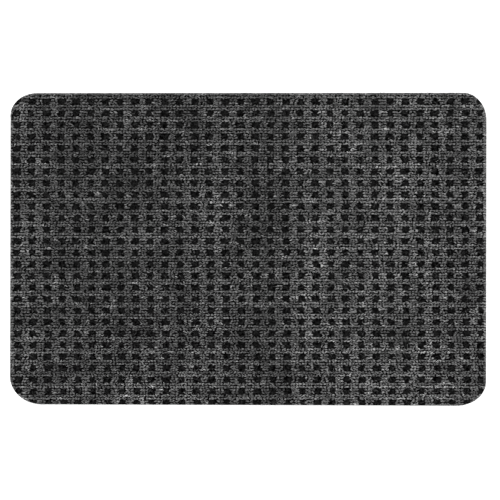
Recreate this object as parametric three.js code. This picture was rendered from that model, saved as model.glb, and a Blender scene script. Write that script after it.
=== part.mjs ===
// Door mat: a rectangular loop-pile mat with rounded corners and no border.
// Millimetres, +Z up, +X along the long side. The origin is the centre of the underside.
//
// From the floor up the mat is a rubber backing, a latex coat that locks the fibres, a black
// needled ground felt, and a grey loop pile. The four layers are bonded and then cut out
// together, so they share one outline and their edges are flush.

import * as THREE from "three";

// Outline, seen from above: left is -X and far is +Y.
const LENGTH = 660;
const WIDTH = 434;

// The cut is not quite square: at the left end the far and near edges lie this much further in.
const DRAWN_IN_AT_LEFT = { far: 1.5, near: 0.9 };

// Each corner is a quarter of an ellipse, with its own reach along the mat and across it.
const CORNER_REACH = {
  nearLeft: { along: 45, across: 38 },
  nearRight: { along: 41, across: 33 },
  farRight: { along: 32, across: 38 },
  farLeft: { along: 37, across: 31 },
};
const SEGMENTS_PER_CORNER = 16;

// Thickness of each layer.
const BACKING_THICKNESS = 2;
const COAT_THICKNESS = 0.5;
const GROUND_THICKNESS = 1.5;
const PILE_THICKNESS = 3;

// Height of each layer's lower face.
const COAT_BASE = BACKING_THICKNESS;
const GROUND_BASE = COAT_BASE + COAT_THICKNESS;
const PILE_BASE = GROUND_BASE + GROUND_THICKNESS;

const QUARTER_TURN = Math.PI / 2;

// The cut outline, anticlockwise from the near left corner.
function matOutline() {
  const halfLength = LENGTH / 2;
  const halfWidth = WIDTH / 2;
  const { nearLeft, nearRight, farRight, farLeft } = CORNER_REACH;
  const corners = [
    { signX: -1, edgeY: DRAWN_IN_AT_LEFT.near - halfWidth, reach: nearLeft, start: 2 * QUARTER_TURN },
    { signX: 1, edgeY: -halfWidth, reach: nearRight, start: 3 * QUARTER_TURN },
    { signX: 1, edgeY: halfWidth, reach: farRight, start: 0 },
    { signX: -1, edgeY: halfWidth - DRAWN_IN_AT_LEFT.far, reach: farLeft, start: QUARTER_TURN },
  ];
  const outline = new THREE.Shape();
  for (const { signX, edgeY, reach, start } of corners) {
    const centreX = signX * (halfLength - reach.along);
    const centreY = edgeY - Math.sign(edgeY) * reach.across;
    const end = start + QUARTER_TURN;
    outline.absellipse(centreX, centreY, reach.along, reach.across, start, end, false);
  }
  return outline;
}

// One layer of the mat: the outline raised by the layer's thickness, standing on baseHeight.
function layer(name, baseHeight, thickness, finish) {
  const geometry = new THREE.ExtrudeGeometry(matOutline(), {
    depth: thickness,
    bevelEnabled: false,
    curveSegments: SEGMENTS_PER_CORNER,
  });
  const mesh = new THREE.Mesh(geometry, new THREE.MeshStandardMaterial(finish));
  mesh.name = name;
  mesh.position.z = baseHeight;
  return mesh;
}

function rubberBacking() {
  return layer("rubber_backing", 0, BACKING_THICKNESS, {
    color: "#17181a",
    roughness: 0.75,
    metalness: 0,
  });
}

function latexCoat() {
  return layer("latex_coat", COAT_BASE, COAT_THICKNESS, {
    color: "#242424",
    roughness: 0.6,
    metalness: 0,
  });
}

function groundFelt() {
  return layer("ground_felt", GROUND_BASE, GROUND_THICKNESS, {
    color: "#161617",
    roughness: 0.95,
    metalness: 0,
  });
}

function loopPile() {
  return layer("loop_pile", PILE_BASE, PILE_THICKNESS, {
    color: "#4e4e4f",
    roughness: 0.9,
    metalness: 0,
  });
}

const doorMat = new THREE.Group();
doorMat.name = "door_mat";
doorMat.add(rubberBacking(), latexCoat(), groundFelt(), loopPile());

export default doorMat;
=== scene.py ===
"""The looks of a loop-pile door mat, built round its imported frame.

Metres, +Z up, +X along the long side. From the floor up the mat is a rubber backing, a latex
coat, a black needled ground felt and a grey loop pile. The pile is made loop by loop, in
courses that run along the mat, and left out in a grid of pockets where the ground shows.
"""

import math

import bpy
import numpy as np
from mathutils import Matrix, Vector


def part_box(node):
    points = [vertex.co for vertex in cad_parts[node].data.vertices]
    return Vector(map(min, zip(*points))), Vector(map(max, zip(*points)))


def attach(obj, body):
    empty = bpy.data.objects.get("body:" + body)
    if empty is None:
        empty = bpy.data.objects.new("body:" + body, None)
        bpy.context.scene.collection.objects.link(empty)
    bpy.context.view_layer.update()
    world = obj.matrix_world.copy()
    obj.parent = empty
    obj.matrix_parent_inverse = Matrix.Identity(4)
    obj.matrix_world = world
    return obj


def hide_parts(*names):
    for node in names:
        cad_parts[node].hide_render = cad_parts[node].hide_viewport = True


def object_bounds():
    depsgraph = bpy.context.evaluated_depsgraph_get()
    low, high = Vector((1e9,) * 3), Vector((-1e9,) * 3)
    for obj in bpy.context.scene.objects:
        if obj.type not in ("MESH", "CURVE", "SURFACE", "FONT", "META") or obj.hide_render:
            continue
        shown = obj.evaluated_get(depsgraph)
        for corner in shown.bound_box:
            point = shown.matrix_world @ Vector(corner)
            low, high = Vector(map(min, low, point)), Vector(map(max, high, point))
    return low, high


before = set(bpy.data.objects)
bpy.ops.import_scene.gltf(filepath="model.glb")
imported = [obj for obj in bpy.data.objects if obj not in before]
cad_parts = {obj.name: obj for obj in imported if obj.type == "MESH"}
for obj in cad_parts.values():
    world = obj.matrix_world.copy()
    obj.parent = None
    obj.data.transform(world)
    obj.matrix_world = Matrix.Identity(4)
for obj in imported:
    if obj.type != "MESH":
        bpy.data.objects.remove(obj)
CAD_LOW, CAD_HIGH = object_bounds()

BODY = "root"

# The weave. A repeat is one pocket with its surround: four courses by five stitches.
COURSE_PITCH = 0.00401
STITCH_PITCH = 0.00414
COURSE_SLIP = 0.0009  # how far the stitches of one course are out of line with the next
SPARE_STITCHES = 3  # run past each end of the pockets, to reach the cut edge
COURSES_PER_REPEAT = 4
STITCHES_PER_REPEAT = 5
POCKET_COURSES = (1, 2)  # the courses of a repeat that stop at the pocket
REPEAT_ROWS = 27
REPEAT_COLUMNS = 32
FIRST_ROW_FROM_FAR_EDGE = 0.0132
FIRST_COLUMN_FROM_LEFT_EDGE = 0.0064

# The weave is not quite square to the cut outline.
COLUMN_LEAN = 0.0055 / 0.433  # sideways for each metre towards the near edge
FAR_PULL = 0.0026  # the far edge is pulled sideways by this much more
FAR_PULL_REACH = 0.051  # and the pull dies away over this distance
COLUMN_WANDERS = (  # to and fro along the mat: amount, wave length, crest from the left edge
    (0.0006, 0.28, 0.073),
    (0.0009, 0.61, -0.10),
)
ROW_RISE = 0.0014 / 0.660  # towards the far edge for each metre to the right
ROW_SAG = 0.0007  # towards the near edge, halfway between the far and near edges

# Pockets: the open squares in the pile.
POCKET_WIDTH = 0.0096
POCKET_WIDTH_SPREAD = 0.0005
ALTERNATE_WIDENING = 0.0005  # every second column of pockets is this much wider, the rest less
POCKET_EDGE_JITTER = 0.0006

# Loops. Each is a few strands side by side, closer at the feet than at the crown.
STRANDS_PER_LOOP = 3.15
STRAND_RADIUS = 0.00054
STRAND_SIDES = 3
LOOP_REACH = 0.0026  # between the feet of one loop
CROWN_STEPS = 4  # segments in the round top of a strand
FOOT_DEPTH = 0.0003  # how far a loop's feet are sunk in the ground felt
STRAND_SPACING = 0.00088  # at the crown
FOOT_GATHER = 0.75  # the spacing at the feet as a share of that at the crown
STRAND_TURN = math.radians(17)
STRAY_SHARE = 0.18  # of the strands lie well across the course
STRAY_TURN = math.radians(45)
SHIFT_ALONG = 0.0007  # how unevenly strands stand, along and across their course
SHIFT_ACROSS = 0.00022
LEAN_ALONG = 0.13  # how unevenly they lean, as a slope
LEAN_ACROSS = 0.08
REACH_SPREAD = 0.18
THICKNESS_SPREAD = 0.15
HEIGHT_SPREAD = 0.12
MOST_SPREADS = 2.5  # no strand is further than this many spreads from the usual
# The modelled strands: the share of the reach and of the height, how much wider the strand is
# at the crown than at the feet, and how far the crown bows sideways.
STRAND_KINDS = {
    "strand_round": (1.0, 1.0, 1.2, 0.0),
    "strand_wide": (1.25, 0.95, 1.3, 0.0003),
    "strand_tight": (0.8, 1.0, 1.1, -0.0003),
}
SAME_VERTEX = 0.000001
MAP_ANGLE = 1.15  # faces that turn by less than this, in radians, lie together in the bake map
MAP_MARGIN = 0.02

# The cut edge.
EDGE_OVERHANG = 0.0018  # loops with their middle this far outside the cut are still there
EDGE_INSET = 0.0006  # and stand this far inside it
EDGE_FRAY = 0.0004  # the cut ends of the strands are this uneven
MOVED_IN = 0.8  # a strand over the cut is moved in by this share of its overhang, then trimmed
SAME_POINT = 0.0001  # corner points of the outline closer than this are one

# Loose fibres, worked out of the loops.
FIBRES_PER_POCKET = 5
POCKET_FIBRE_SPREAD = (0.0034, 0.0022)
POCKET_FIBRE_SHADE = 0.26  # of the shade of the pile
POCKET_FIBRE_HEIGHTS = (-0.04, 0.10)  # of their ends, as shares of the height of the pile
FIBRES_OVER_PILE = 1800
PILE_FIBRE_HEIGHTS = (0.55, 0.72)
FIBRE_RADIUS = 0.00016
FIBRE_LENGTH = 0.0050
FIBRE_LENGTHS = (0.6, 1.25)  # the shortest and longest, as shares of that length
FIBRE_RISE = 0.0009
FIBRE_SEGMENTS = 4
FIBRE_TAPER = 0.6  # how much thinner the ends are than the middle
FIBRE_TURN = math.radians(50)
FIBRE_TILT = 0.4

# Heather shades of the pile, as the share of light that the fibre gives back.
SHADE_MIDDLE = 0.1155
SHADE_SPREAD = 0.39
LOOP_SHADE_SPREAD = 0.21
LOOPS_ALIKE = 1.2  # neighbours along a course share their shade over about this many loops
SHADE_WINDOW = 3  # the sharing is worked out over this many times that distance each way
COURSE_SHADE_SPREAD = 0.08
DARKEST_SHADE = 0.012
LIGHTEST_SHADE = 0.45

# Lanes of lighter and darker pile across the mat: a share of its length from the left edge,
# and how light the pile is there.
LANES = (
    (0.0, 1.02),
    (0.02, 1.00),
    (0.07, 0.82),
    (0.22, 0.76),
    (0.34, 0.80),
    (0.38, 1.00),
    (0.43, 1.12),
    (0.48, 0.90),
    (0.53, 0.74),
    (0.58, 0.92),
    (0.63, 1.15),
    (0.88, 1.20),
    (0.93, 1.06),
    (1.0, 1.06),
)
LANE_SCALE = 2.0  # a ramp holds no shade above one, so the lanes are scaled down in it

# Broad patches of lighter or darker pile: the middle, the radius and how much lighter.
PATCHES = (
    ((-0.145, -0.215), 0.14, 0.46),
    ((-0.320, -0.010), 0.07, 0.14),
    ((-0.090, 0.200), 0.11, -0.20),
)

# Slow clouds of shade all over the pile.
CLOUD_STRENGTH = 1.45
CLOUD_SCALE = 16.0
CLOUD_STRETCH = (1.0, 0.6, 1.0)
CLOUD_DETAIL = 3.0
CLOUD_ROUGHNESS = 0.6

# The noise on a strand: its scale along and across the strand, and its detail. The noise runs
# through a third direction too, scaled to set that of one strand far from that of the next.
STRAND_SEED_SCALE = 400.0
FLECKS = (5.0, 2.0, 2.0)
STREAKS = (1.6, 6.5, 3.0)
NOISE_LOW = 0.3  # a noise is seldom outside these two
NOISE_HIGH = 0.7
FLECK_SHADES = (0.55, 1.45)
STREAK_SHADES = (0.75, 1.25)
STREAK_ROUGHNESS = (0.9, 0.65)
STREAK_DEPTH = 0.0003
YARN_SPECULAR = 0.15

# The dull materials: the scale and depth of the grain, its dark and light shade, the
# roughness, and the specular level.
BLACK_FELT = (400, 0.0006, 0.0002, 0.0092, 0.9, 0.0)
BACKING_RUBBER = (900, 0.0002, 0.006, 0.014, 0.75, 0.25)
LATEX = (700, 0.0003, 0.008, 0.020, 0.65, 0.25)
GRAIN_DETAIL = 4.0
GRAIN_ROUGHNESS = 0.65
GRAIN_DARK_AT = 0.42  # the values of the grain that are darkest and lightest
GRAIN_LIGHT_AT = 0.62
GRAIN_SMOOTH_AT = 0.35  # and those that are smoothest and roughest
GRAIN_ROUGH_AT = 0.7
ROUGHNESS_SPREAD = 0.08

ROWS_PER_PIECE = 3  # rows of pockets in one piece of pile
SEED = 26170

# The ground felt.
FELT_CELL = 0.004
FELT_RIPPLE = 0.0001
FELT_CUT_TOLERANCE = 0.00001
FELT_SMOOTH_BELOW = math.radians(50)

# The camera looks straight down.
CAMERA_LENS = 85
SENSOR = 36
FIELD_WIDTH = 0.6921  # across the picture at the top of the pile
CAMERA_X = 0.0025
CAMERA_Y = -0.0016
CAMERA_ROLL = math.radians(0.10)

# The stage.
FLOOR_SIZE = 24
FLOOR_DROP = 0.0002  # how far the floor is under the mat
FLOOR_SHADE = 0.9
FLOOR_ROUGHNESS = 0.9
SKY_STRENGTH = 1.0
AREA_LIGHTS = {  # the place, the size and the power
    "overhead": ((0, 0, 2.4), 2.0, 46),
    "key": ((-1.5, 1.6, 1.8), 1.0, 45),
}


# ---------------------------------------------------------------- small helpers


def deselect_all():
    bpy.ops.object.select_all(action="DESELECT")


def start_editing(piece):
    """Selects one piece and all of its mesh, in edit mode."""
    deselect_all()
    piece.select_set(True)
    bpy.context.view_layer.objects.active = piece
    bpy.ops.object.mode_set(mode="EDIT")
    bpy.ops.mesh.select_all(action="SELECT")


def finish_editing():
    bpy.ops.object.mode_set(mode="OBJECT")


def extrude(x, y, z):
    bpy.ops.mesh.extrude_region_move(TRANSFORM_OT_translate={"value": (x, y, z)})


def face_outward():
    bpy.ops.mesh.select_all(action="SELECT")
    bpy.ops.mesh.normals_make_consistent(inside=False)


def cut_outline(node):
    """The corner points of a node's outline, seen from above, anticlockwise."""
    points = np.array([vertex.co[:2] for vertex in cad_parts[node].data.vertices])
    points = points[np.argsort(np.arctan2(points[:, 1], points[:, 0]))]
    step = points - np.roll(points, 1, axis=0)
    return points[np.hypot(step[:, 0], step[:, 1]) > SAME_POINT]


def edge_lines(outline):
    """The way each edge of an outline faces, and its distance from the origin."""
    step = np.roll(outline, -1, axis=0) - outline
    outward = np.stack([step[:, 1], -step[:, 0]], axis=1)
    outward /= np.hypot(step[:, 0], step[:, 1])[:, None]
    return outward, (outward * outline).sum(axis=1)


OUTLINE_LOW, OUTLINE_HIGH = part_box("loop_pile")
EDGE_OUTWARD, EDGE_DISTANCE = edge_lines(cut_outline("loop_pile"))


def pulled_inside(points, inset):
    """A copy of the points, with those less than inset inside the cut outline moved in to it."""
    inside = points.copy()
    for outward, distance in zip(EDGE_OUTWARD, EDGE_DISTANCE):
        beyond = (inside[:, :2] @ outward - distance + inset).clip(0)
        inside[:, :2] -= beyond[:, None] * outward
    return inside


def is_inside(points, inset):
    """Whether each point is at least inset inside the cut outline."""
    return (points @ EDGE_OUTWARD.T - EDGE_DISTANCE).max(axis=1) <= -inset


# ---------------------------------------------------------------- where the loops stand


def weave_to_mat(along, across):
    """Turns a distance right of the first column and one near of the first row into X and Y."""
    from_left = FIRST_COLUMN_FROM_LEFT_EDGE + along
    from_far = FIRST_ROW_FROM_FAR_EDGE + across
    lean = COLUMN_LEAN * from_far + FAR_PULL * np.exp(-from_far / FAR_PULL_REACH)
    wander = sum(
        amount * np.cos(2 * math.pi * (from_left - crest) / length)
        for amount, length, crest in COLUMN_WANDERS
    )
    x = OUTLINE_LOW.x + from_left
    width = OUTLINE_HIGH.y - OUTLINE_LOW.y
    sag = ROW_SAG * np.sin(math.pi * from_far / width)
    return x + lean + wander, OUTLINE_HIGH.y - from_far + ROW_RISE * x - sag


def evenly(start, end, pitch):
    """The middles of as many equal stitches as fit best between start and end."""
    count = max(1, round((end - start) / pitch))
    return start + (np.arange(count) + 0.5) * (end - start) / count


def open_course(random):
    """Stitches of a course that runs on without pockets, in line with those of its neighbours."""
    stitches = REPEAT_COLUMNS * STITCHES_PER_REPEAT
    place = np.arange(-SPARE_STITCHES, stitches + SPARE_STITCHES) + 0.5
    return place * STITCH_PITCH + random.normal(0, COURSE_SLIP)


def broken_course(random, widths):
    """Stitches of a course that stops at each pocket."""
    repeat = STITCHES_PER_REPEAT * STITCH_PITCH
    stitches = []
    edge = -repeat
    for column in range(REPEAT_COLUMNS + 1):
        half = widths[min(column, REPEAT_COLUMNS - 1)] / 2
        jitter = random.normal(0, POCKET_EDGE_JITTER, 2)
        stitches.append(evenly(edge, column * repeat - half + jitter[0], STITCH_PITCH))
        edge = column * repeat + half + jitter[1]
    return np.concatenate(stitches)


def loop_shades(count, random):
    """How light or dark each loop of a course is. Close neighbours are alike."""
    reach = round(SHADE_WINDOW * LOOPS_ALIKE)
    weight = np.exp(-0.5 * (np.arange(-reach, reach + 1) / LOOPS_ALIKE) ** 2)
    weight /= math.sqrt((weight**2).sum())
    return LOOP_SHADE_SPREAD * np.convolve(random.normal(0, 1, count), weight, mode="same")


def loop_places(row, random):
    """The X, Y and shade of every loop of one row of pockets."""
    repeat = COURSES_PER_REPEAT * COURSE_PITCH
    alternate = np.where(np.arange(REPEAT_COLUMNS) % 2 == 0, 1, -1) * ALTERNATE_WIDENING
    widths = POCKET_WIDTH + alternate + random.normal(0, POCKET_WIDTH_SPREAD, REPEAT_COLUMNS)
    places = []
    for course in range(COURSES_PER_REPEAT):
        offset = (course - (COURSES_PER_REPEAT - 1) / 2) * COURSE_PITCH
        stops = course in POCKET_COURSES and row >= 0  # no pockets beyond the first row
        along = broken_course(random, widths) if stops else open_course(random)
        across = np.full(len(along), row * repeat + offset)
        x, y = weave_to_mat(along, across)
        shade = random.normal(0, COURSE_SHADE_SPREAD) + loop_shades(len(x), random)
        place = np.stack([x, y, shade], axis=1)
        place = place[is_inside(place[:, :2], -EDGE_OVERHANG)]
        places.append(pulled_inside(place, EDGE_INSET))
    return np.concatenate(places)


# ---------------------------------------------------------------- one strand of a loop


def model_strand(name, reach, height, crown, bow):
    """One fibre bundle: up a straight leg, over a round crown and down again."""
    leg = height - reach / 2
    deselect_all()
    bpy.ops.mesh.primitive_circle_add(
        vertices=STRAND_SIDES,
        radius=STRAND_RADIUS,
        fill_type="NGON",
        location=(-reach / 2, 0, 0),
        rotation=(0, 0, math.pi / 2),
    )
    strand = bpy.context.object
    strand.name = name
    bpy.ops.object.transform_apply(location=True, rotation=True, scale=True)
    start_editing(strand)
    extrude(0, 0, leg)
    bpy.ops.mesh.spin(
        steps=CROWN_STEPS, angle=math.pi, center=(0, 0, leg), axis=(0, -1, 0)
    )
    extrude(0, 0, -leg)
    bpy.ops.mesh.select_all(action="SELECT")
    bpy.ops.mesh.remove_doubles(threshold=SAME_VERTEX)
    face_outward()
    finish_editing()
    for vertex in strand.data.vertices:
        lift = max(0.0, vertex.co.z / height)
        vertex.co.y = vertex.co.y * (1 + (crown - 1) * lift) + bow * lift
    return strand


def strand_kinds():
    """The few strands that every loop is made of."""
    height = OUTLINE_HIGH.z - OUTLINE_LOW.z + FOOT_DEPTH - STRAND_RADIUS
    return [
        model_strand(name, LOOP_REACH * reach, height * tall, crown, bow)
        for name, (reach, tall, crown, bow) in STRAND_KINDS.items()
    ]


class StrandShape:
    """The vertices, faces and bake map of a modelled strand, as arrays, and where along and
    across the strand each vertex lies."""

    def __init__(self, strand):
        mesh = strand.data
        start_editing(strand)
        bpy.ops.uv.smart_project(angle_limit=MAP_ANGLE, island_margin=MAP_MARGIN)
        finish_editing()
        self.points = np.array([vertex.co for vertex in mesh.vertices])
        self.corners = np.array([loop.vertex_index for loop in mesh.loops])
        self.counts = np.array([len(face.vertices) for face in mesh.polygons])
        self.map = np.array([corner.uv for corner in mesh.uv_layers.active.data])
        self.along = np.arctan2(self.points[:, 2], -self.points[:, 0]) / math.pi
        self.across = self.points[:, 1] / STRAND_RADIUS
        bpy.data.objects.remove(strand)


# ---------------------------------------------------------------- the pile


def around_one(random, spread, count):
    """Factors that vary about one, without the extremes."""
    most = MOST_SPREADS * spread
    return random.normal(1.0, spread, count).clip(1 - most, 1 + most)


def turned_axes(turn, reach, thick, upright):
    """Three axes for each strand: along it, across it and up."""
    zero = np.zeros(len(turn))
    along = np.stack([np.cos(turn) * reach, np.sin(turn) * reach, zero], axis=1)
    across = np.stack([-np.sin(turn) * thick, np.cos(turn) * thick, zero], axis=1)
    return np.stack([along, across, upright], axis=1)


def strand_frames(places, random):
    """For each strand: where it stands, its three axes and its shade."""
    loops = len(places)
    fewest = int(STRANDS_PER_LOOP)
    count = fewest + (random.random(loops) < STRANDS_PER_LOOP - fewest)
    of_loop = np.repeat(np.arange(loops), count)
    rank = np.arange(len(of_loop)) - np.repeat(np.cumsum(count) - count, count)
    side = (rank - (count[of_loop] - 1) / 2) * STRAND_SPACING
    total = len(of_loop)
    height = OUTLINE_HIGH.z - OUTLINE_LOW.z
    x = places[of_loop, 0] + random.normal(0, SHIFT_ALONG, total)
    y = places[of_loop, 1] + side * FOOT_GATHER + random.normal(0, SHIFT_ACROSS, total)
    feet = np.stack([x, y, np.full(total, OUTLINE_LOW.z - FOOT_DEPTH)], axis=1)
    stray = random.random(total) < STRAY_SHARE
    turn = random.normal(0, 1, total) * np.where(stray, STRAY_TURN, STRAND_TURN)
    reach = around_one(random, REACH_SPREAD, total)
    thick = around_one(random, THICKNESS_SPREAD, total)
    tall = 2 - np.maximum(around_one(random, HEIGHT_SPREAD, total), 1)  # one at the most
    lean_x = random.normal(0, LEAN_ALONG, total)
    lean_y = random.normal(0, LEAN_ACROSS, total) + side * (1 - FOOT_GATHER) / height
    axes = turned_axes(turn, reach, thick, np.stack([lean_x, lean_y, tall], axis=1))
    shade = SHADE_MIDDLE * np.exp(random.normal(0, SHADE_SPREAD, total) + places[of_loop, 2])
    return feet, axes, shade


def copies(part):
    """The vertices of many copies of a shape, moved in and trimmed where they cross the cut."""
    points = np.einsum("vk,nkd->nvd", part["shape"].points, part["axes"])
    points += part["places"][:, None, :]
    fray = np.repeat(part["seed"] * EDGE_FRAY, points.shape[1])
    flat = points.reshape(-1, 3)
    over = (pulled_inside(flat, fray) - flat).reshape(points.shape)
    furthest = np.hypot(over[:, :, 0], over[:, :, 1]).argmax(axis=1)
    shift = over[np.arange(len(points)), furthest] * MOVED_IN
    return pulled_inside((points + shift[:, None, :]).reshape(-1, 3), fray)


def mesh_from_copies(name, parts):
    """One mesh object from lists of copied strands, with their shades and bake map."""
    total = sum(len(part["places"]) for part in parts)
    side = math.ceil(math.sqrt(total))
    points, corners, counts, maps, fibres, shades = [], [], [], [], [], []
    first_vertex = 0
    first_cell = 0
    for part in parts:
        shape = part["shape"]
        number = len(part["places"])
        vertices = len(shape.points)
        points.append(copies(part))
        starts = first_vertex + np.arange(number) * vertices
        corners.append((shape.corners[None, :] + starts[:, None]).ravel())
        counts.append(np.tile(shape.counts, number))
        cell = first_cell + np.arange(number)
        cell_corner = np.stack([cell % side, cell // side], axis=1)
        maps.append(((shape.map[None] + cell_corner[:, None]) / side).reshape(-1, 2))
        along = np.tile(shape.along, number)
        across = np.tile(shape.across, number)
        fibres.append(np.stack([along, across, np.repeat(part["seed"], vertices)], axis=1))
        shades.append(np.repeat(part["shade"], vertices))
        first_vertex += number * vertices
        first_cell += number
    mesh = bpy.data.meshes.new(name)
    fill_mesh(mesh, np.concatenate(points), np.concatenate(corners), np.concatenate(counts))
    mesh.uv_layers.new(name="OFBake").uv.foreach_set(
        "vector", np.concatenate(maps).astype(np.float32).ravel()
    )
    mesh.attributes.new("shade", "FLOAT", "POINT").data.foreach_set(
        "value", np.concatenate(shades).astype(np.float32)
    )
    mesh.attributes.new("fibre", "FLOAT_VECTOR", "POINT").data.foreach_set(
        "vector", np.concatenate(fibres).astype(np.float32).ravel()
    )
    piece = bpy.data.objects.new(name, mesh)
    bpy.context.scene.collection.objects.link(piece)
    return piece


def fill_mesh(mesh, points, corners, counts):
    """Gives an empty mesh its vertices and its smooth faces."""
    mesh.vertices.add(len(points))
    mesh.vertices.foreach_set("co", points.astype(np.float32).ravel())
    mesh.loops.add(len(corners))
    mesh.loops.foreach_set("vertex_index", corners.astype(np.int32))
    mesh.polygons.add(len(counts))
    starts = np.cumsum(counts) - counts
    mesh.polygons.foreach_set("loop_start", starts.astype(np.int32))
    mesh.polygons.foreach_set("use_smooth", np.ones(len(counts), bool))
    mesh.update(calc_edges=True)
    mesh.validate()


def part_of(shape, places, axes, shade, random):
    """Copies of one shape, ready to be put in a mesh."""
    return {
        "shape": shape,
        "places": places,
        "axes": axes,
        "shade": shade.clip(DARKEST_SHADE, LIGHTEST_SHADE),
        "seed": random.random(len(places)),
    }


def pile_piece(number, rows, shapes, random):
    """The loops of a few rows of pockets, as one piece."""
    places = np.concatenate([loop_places(row, random) for row in rows])
    feet, axes, shade = strand_frames(places, random)
    kind = random.integers(0, len(shapes), len(feet))
    parts = [
        part_of(shape, feet[kind == index], axes[kind == index], shade[kind == index], random)
        for index, shape in enumerate(shapes)
    ]
    return mesh_from_copies(f"loop_rows_{number:02d}", parts)


def model_fibre():
    """A fine fibre that arches low and tapers to both ends."""
    deselect_all()
    bpy.ops.mesh.primitive_circle_add(
        vertices=STRAND_SIDES,
        radius=FIBRE_RADIUS,
        fill_type="NGON",
        location=(-FIBRE_LENGTH / 2, 0, 0),
        rotation=(0, math.pi / 2, 0),
    )
    fibre = bpy.context.object
    bpy.ops.object.transform_apply(location=True, rotation=True, scale=True)
    start_editing(fibre)
    for _ in range(FIBRE_SEGMENTS):
        extrude(FIBRE_LENGTH / FIBRE_SEGMENTS, 0, 0)
    face_outward()
    finish_editing()
    for vertex in fibre.data.vertices:
        from_middle = 2 * vertex.co.x / FIBRE_LENGTH
        taper = 1 - FIBRE_TAPER * from_middle**2
        swerve = FIBRE_RISE / 2 * math.sin(math.pi * from_middle)
        vertex.co.y = vertex.co.y * taper + swerve
        vertex.co.z = vertex.co.z * taper + FIBRE_RISE * (1 - from_middle**2)
    return fibre


def pocket_middles():
    """The X and Y of the middle of every pocket."""
    row, column = np.mgrid[0:REPEAT_ROWS, 0:REPEAT_COLUMNS]
    along = column.ravel() * STITCHES_PER_REPEAT * STITCH_PITCH
    across = row.ravel() * COURSES_PER_REPEAT * COURSE_PITCH
    return np.stack(weave_to_mat(along, across), axis=1)


def fibre_part(shape, places, heights, shade, random):
    """Fibres at the given X and Y, with their ends between two shares of the pile's height."""
    depth = OUTLINE_HIGH.z - OUTLINE_LOW.z
    places = places[is_inside(places, STRAND_RADIUS)]
    total = len(places)
    z = OUTLINE_LOW.z + depth * random.uniform(*heights, total)
    tilt = random.normal(0, FIBRE_TILT, total)
    upright = np.stack([np.zeros(total), tilt, np.ones(total)], axis=1)
    turn = random.normal(0, FIBRE_TURN, total)
    length = random.uniform(*FIBRE_LENGTHS, total)
    axes = turned_axes(turn, length, np.ones(total), upright)
    shades = shade * np.exp(random.normal(0, SHADE_SPREAD, total))
    return part_of(shape, np.column_stack([places, z]), axes, shades, random)


def loose_fibres():
    """Single fibres that have worked out of the loops and lie in the pockets and on the pile."""
    random = np.random.default_rng(SEED + 2)
    shape = StrandShape(model_fibre())
    in_pockets = np.repeat(pocket_middles(), FIBRES_PER_POCKET, axis=0)
    in_pockets += random.normal(0, 1, in_pockets.shape) * POCKET_FIBRE_SPREAD
    over_pile = random.uniform(OUTLINE_LOW.xy, OUTLINE_HIGH.xy, (FIBRES_OVER_PILE, 2))
    pocket_shade = SHADE_MIDDLE * POCKET_FIBRE_SHADE
    parts = [
        fibre_part(shape, in_pockets, POCKET_FIBRE_HEIGHTS, pocket_shade, random),
        fibre_part(shape, over_pile, PILE_FIBRE_HEIGHTS, SHADE_MIDDLE, random),
    ]
    return mesh_from_copies("loose_fibres", parts)


def loop_pile():
    """All the pieces of the pile, from the far edge to the near edge."""
    random = np.random.default_rng(SEED)
    shapes = [StrandShape(strand) for strand in strand_kinds()]
    rows = list(range(-1, REPEAT_ROWS + 1))  # with one more at each end, cut short by the outline
    starts = range(0, len(rows), ROWS_PER_PIECE)
    return [
        pile_piece(number, rows[start : start + ROWS_PER_PIECE], shapes, random)
        for number, start in enumerate(starts, start=1)
    ]


# ---------------------------------------------------------------- the ground felt


def trim_to_outline(piece):
    """Cuts off all of a piece that lies outside the cut outline, and closes its sides."""
    start_editing(piece)
    for outward, distance in zip(EDGE_OUTWARD, EDGE_DISTANCE):
        bpy.ops.mesh.select_all(action="SELECT")
        bpy.ops.mesh.bisect(
            plane_co=(*(outward * distance), 0),
            plane_no=(*outward, 0),
            threshold=FELT_CUT_TOLERANCE,
            use_fill=True,
            clear_outer=True,
        )
    finish_editing()


def ground_felt():
    """The black needled web: a close grid, slightly uneven on top, trimmed to the outline."""
    low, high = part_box("ground_felt")
    length = high.x - low.x + 2 * FELT_CELL
    width = high.y - low.y + 2 * FELT_CELL
    deselect_all()
    bpy.ops.mesh.primitive_grid_add(
        x_subdivisions=round(length / FELT_CELL),
        y_subdivisions=round(width / FELT_CELL),
        size=1,
        location=(0, 0, high.z),
    )
    felt = bpy.context.object
    felt.name = "ground_felt_web"
    felt.scale = (length, width, 1)
    bpy.ops.object.transform_apply(location=True, rotation=True, scale=True)
    start_editing(felt)
    bpy.ops.mesh.region_to_loop()
    extrude(0, 0, low.z - high.z)
    bpy.ops.mesh.edge_face_add()
    face_outward()
    finish_editing()
    random = np.random.default_rng(SEED + 1)
    for vertex in felt.data.vertices:
        if vertex.co.z > (low.z + high.z) / 2:
            vertex.co.z -= abs(random.normal(0, FELT_RIPPLE))
    trim_to_outline(felt)
    bpy.ops.object.shade_smooth_by_angle(angle=FELT_SMOOTH_BELOW)
    return felt


# ---------------------------------------------------------------- materials


def add_node(tree, kind, inputs=None, **settings):
    """A shader node with its settings made, and its inputs set or linked by name."""
    node = tree.nodes.new(kind)
    for name, value in settings.items():
        setattr(node, name, value)
    for name, value in (inputs or {}).items():
        socket = node.inputs[name]
        if isinstance(value, bpy.types.NodeSocket):
            tree.links.new(value, socket)
        else:
            socket.default_value = value
    return node


def new_material(name):
    """A material, its node tree and its shader."""
    material = bpy.data.materials.new(name)
    material.use_nodes = True
    return material, material.node_tree, material.node_tree.nodes["Principled BSDF"]


def math_node(tree, operation, *values):
    """The result of a maths node, given sockets or numbers."""
    inputs = dict(enumerate(values))
    return add_node(tree, "ShaderNodeMath", inputs, operation=operation).outputs[0]


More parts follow.
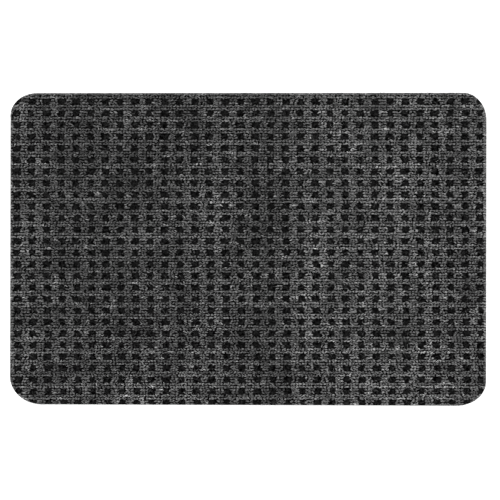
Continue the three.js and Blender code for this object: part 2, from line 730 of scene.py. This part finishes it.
def map_range(tree, value, from_low, from_high, to_low, to_high, **settings):
    """A value moved from one range to another, and kept inside it."""
    inputs = {
        "Value": value,
        "From Min": from_low,
        "From Max": from_high,
        "To Min": to_low,
        "To Max": to_high,
    }
    return add_node(tree, "ShaderNodeMapRange", inputs, **settings).outputs["Result"]


def grey(level):
    return (level, level, level, 1)


def lane_factor(tree, place):
    """How light the pile is for where it is along the mat."""
    along = add_node(tree, "ShaderNodeSeparateXYZ", {"Vector": place}).outputs["X"]
    share = map_range(tree, along, OUTLINE_LOW.x, OUTLINE_HIGH.x, 0.0, 1.0)
    ramp = add_node(tree, "ShaderNodeValToRGB", {"Fac": share})
    ramp.color_ramp.interpolation = "EASE"
    stops = ramp.color_ramp.elements
    for position, shade in LANES:
        is_end = position in (0.0, 1.0)
        stop = stops[-1 if position else 0] if is_end else stops.new(position)
        stop.color = grey(shade / LANE_SCALE)
    return math_node(tree, "MULTIPLY", ramp.outputs["Color"], LANE_SCALE)


def patch_factor(tree, place, middle, radius, gain):
    """How much lighter the pile is near the middle of a patch."""
    away = add_node(
        tree,
        "ShaderNodeVectorMath",
        {0: place, 1: (middle[0], middle[1], OUTLINE_HIGH.z)},
        operation="DISTANCE",
    )
    distance = away.outputs["Value"]
    return map_range(
        tree, distance, 0.0, radius, 1 + gain, 1.0, interpolation_type="SMOOTHSTEP"
    )


def clouding_group():
    """Slow drifts of lighter and darker pile over the mat: lanes, patches, clouds."""
    tree = bpy.data.node_groups.new("clouding", "ShaderNodeTree")
    tree.interface.new_socket("Strength", in_out="INPUT", socket_type="NodeSocketFloat")
    tree.interface.new_socket("Factor", in_out="OUTPUT", socket_type="NodeSocketFloat")
    given = add_node(tree, "NodeGroupInput")
    place = add_node(tree, "ShaderNodeTexCoord").outputs["Object"]
    stretched = add_node(tree, "ShaderNodeMapping", {"Vector": place, "Scale": CLOUD_STRETCH})
    inputs = {
        "Vector": stretched.outputs["Vector"],
        "Scale": CLOUD_SCALE,
        "Detail": CLOUD_DETAIL,
        "Roughness": CLOUD_ROUGHNESS,
    }
    clouds = add_node(tree, "ShaderNodeTexNoise", inputs)
    centred = math_node(tree, "SUBTRACT", clouds.outputs["Fac"], 0.5)
    factor = math_node(tree, "MULTIPLY_ADD", centred, given.outputs["Strength"], 1.0)
    factor = math_node(tree, "MULTIPLY", factor, lane_factor(tree, place))
    for middle, radius, gain in PATCHES:
        patch = patch_factor(tree, place, middle, radius, gain)
        factor = math_node(tree, "MULTIPLY", factor, patch)
    result = add_node(tree, "NodeGroupOutput")
    tree.links.new(factor, result.inputs["Factor"])
    return tree


def grain_group():
    """A fine random grain, as a value and as the bump that goes with it."""
    tree = bpy.data.node_groups.new("grain", "ShaderNodeTree")
    tree.interface.new_socket("Scale", in_out="INPUT", socket_type="NodeSocketFloat")
    tree.interface.new_socket("Depth", in_out="INPUT", socket_type="NodeSocketFloat")
    tree.interface.new_socket("Value", in_out="OUTPUT", socket_type="NodeSocketFloat")
    tree.interface.new_socket("Normal", in_out="OUTPUT", socket_type="NodeSocketVector")
    given = add_node(tree, "NodeGroupInput")
    place = add_node(tree, "ShaderNodeTexCoord").outputs["Object"]
    inputs = {
        "Vector": place,
        "Scale": given.outputs["Scale"],
        "Detail": GRAIN_DETAIL,
        "Roughness": GRAIN_ROUGHNESS,
    }
    noise = add_node(tree, "ShaderNodeTexNoise", inputs)
    inputs = {"Height": noise.outputs["Fac"], "Distance": given.outputs["Depth"]}
    bump = add_node(tree, "ShaderNodeBump", inputs)
    result = add_node(tree, "NodeGroupOutput")
    tree.links.new(noise.outputs["Fac"], result.inputs["Value"])
    tree.links.new(bump.outputs["Normal"], result.inputs["Normal"])
    return tree


def strand_noise(tree, fibre, along, across, detail):
    """A noise over each strand, with its scale along and across the strand."""
    scale = (along, across, STRAND_SEED_SCALE)
    stretched = add_node(tree, "ShaderNodeMapping", {"Vector": fibre, "Scale": scale})
    inputs = {"Vector": stretched.outputs["Vector"], "Scale": 1.0, "Detail": detail}
    return add_node(tree, "ShaderNodeTexNoise", inputs).outputs["Fac"]


def noise_between(tree, noise, low, high):
    """A noise turned into a value that runs from low to high."""
    return map_range(tree, noise, NOISE_LOW, NOISE_HIGH, low, high)


def yarn_material(clouding):
    """Heather grey polypropylene: each strand has its shade, with flecks and fibres in it."""
    material, tree, shader = new_material("heather_yarn")
    shade = add_node(tree, "ShaderNodeAttribute", attribute_name="shade").outputs["Fac"]
    fibre = add_node(tree, "ShaderNodeAttribute", attribute_name="fibre").outputs["Vector"]
    fleck = strand_noise(tree, fibre, *FLECKS)
    streak = strand_noise(tree, fibre, *STREAKS)
    drift = add_node(tree, "ShaderNodeGroup", node_tree=clouding)
    drift.inputs["Strength"].default_value = CLOUD_STRENGTH
    light = math_node(tree, "MULTIPLY", shade, noise_between(tree, fleck, *FLECK_SHADES))
    light = math_node(tree, "MULTIPLY", light, noise_between(tree, streak, *STREAK_SHADES))
    light = math_node(tree, "MULTIPLY", light, drift.outputs["Factor"])
    colour = add_node(
        tree, "ShaderNodeCombineColor", {"Red": light, "Green": light, "Blue": light}
    )
    bump = add_node(tree, "ShaderNodeBump", {"Height": streak, "Distance": STREAK_DEPTH})
    roughness = noise_between(tree, streak, *STREAK_ROUGHNESS)
    tree.links.new(colour.outputs["Color"], shader.inputs["Base Color"])
    tree.links.new(roughness, shader.inputs["Roughness"])
    tree.links.new(bump.outputs["Normal"], shader.inputs["Normal"])
    shader.inputs["Specular IOR Level"].default_value = YARN_SPECULAR
    return material


def grained_material(name, grain, scale, depth, dark, light, rough, specular):
    """A dull material whose shade, roughness and surface all follow one grain."""
    material, tree, shader = new_material(name)
    grains = add_node(tree, "ShaderNodeGroup", node_tree=grain)
    grains.inputs["Scale"].default_value = scale
    grains.inputs["Depth"].default_value = depth
    value = grains.outputs["Value"]
    ramp = add_node(tree, "ShaderNodeValToRGB", {"Fac": value})
    dark_stop, light_stop = ramp.color_ramp.elements
    dark_stop.position = GRAIN_DARK_AT
    dark_stop.color = grey(dark)
    light_stop.position = GRAIN_LIGHT_AT
    light_stop.color = grey(light)
    smoothest = rough - ROUGHNESS_SPREAD
    roughest = rough + ROUGHNESS_SPREAD
    roughness = map_range(tree, value, GRAIN_SMOOTH_AT, GRAIN_ROUGH_AT, smoothest, roughest)
    tree.links.new(ramp.outputs["Color"], shader.inputs["Base Color"])
    tree.links.new(roughness, shader.inputs["Roughness"])
    tree.links.new(grains.outputs["Normal"], shader.inputs["Normal"])
    shader.inputs["Specular IOR Level"].default_value = specular
    return material


# ---------------------------------------------------------------- stage, light and camera


def add_floor():
    """A plain pale floor, which isn't part of the mat."""
    deselect_all()
    bpy.ops.mesh.primitive_plane_add(size=FLOOR_SIZE, location=(0, 0, -FLOOR_DROP))
    floor = bpy.context.object
    floor.name = "floor"
    material, _, shader = new_material("pale_floor")
    shader.inputs["Base Color"].default_value = grey(FLOOR_SHADE)
    shader.inputs["Roughness"].default_value = FLOOR_ROUGHNESS
    floor.data.materials.append(material)


def add_area_light(name, place, size, power):
    """A soft square light that faces the middle of the mat."""
    data = bpy.data.lights.new(name, "AREA")
    data.size = size
    data.energy = power
    light = bpy.data.objects.new(name, data)
    light.location = place
    light.rotation_mode = "QUATERNION"
    light.rotation_quaternion = (-light.location).to_track_quat("-Z", "Y")
    bpy.context.scene.collection.objects.link(light)


def add_lights():
    """An even white sky, a broad light overhead and a smaller one from the far left."""
    world = bpy.data.worlds.new("studio")
    world.use_nodes = True
    sky = world.node_tree.nodes["Background"]
    sky.inputs["Color"].default_value = grey(1.0)
    sky.inputs["Strength"].default_value = SKY_STRENGTH
    bpy.context.scene.world = world
    for name, (place, size, power) in AREA_LIGHTS.items():
        add_area_light(name, place, size, power)


def add_camera():
    """The camera, straight above the mat."""
    data = bpy.data.cameras.new("camera")
    data.lens = CAMERA_LENS
    data.sensor_width = SENSOR
    camera = bpy.data.objects.new("camera", data)
    distance = FIELD_WIDTH * CAMERA_LENS / SENSOR
    camera.location = (CAMERA_X, CAMERA_Y, CAD_HIGH.z + distance)
    camera.rotation_euler = (0, 0, CAMERA_ROLL)
    bpy.context.scene.collection.objects.link(camera)
    bpy.context.scene.camera = camera


# ---------------------------------------------------------------- putting it together


def main():
    """Makes the pieces, gives them their materials and sets the stage."""
    bpy.context.scene.view_settings.view_transform = "Standard"
    grain = grain_group()
    yarn = yarn_material(clouding_group())
    black_felt = grained_material("black_felt", grain, *BLACK_FELT)
    rubber = grained_material("backing_rubber", grain, *BACKING_RUBBER)
    latex = grained_material("latex", grain, *LATEX)
    felt = ground_felt()
    felt.data.materials.append(black_felt)
    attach(felt, BODY)
    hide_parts("ground_felt")
    pile = loop_pile() + [loose_fibres()]
    for piece in pile:
        piece.data.materials.append(yarn)
        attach(piece, BODY)
        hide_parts("loop_pile")
    for node, material in (("rubber_backing", rubber), ("latex_coat", latex)):
        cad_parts[node].material_slots[0].material = material
    add_floor()
    add_lights()
    add_camera()


main()
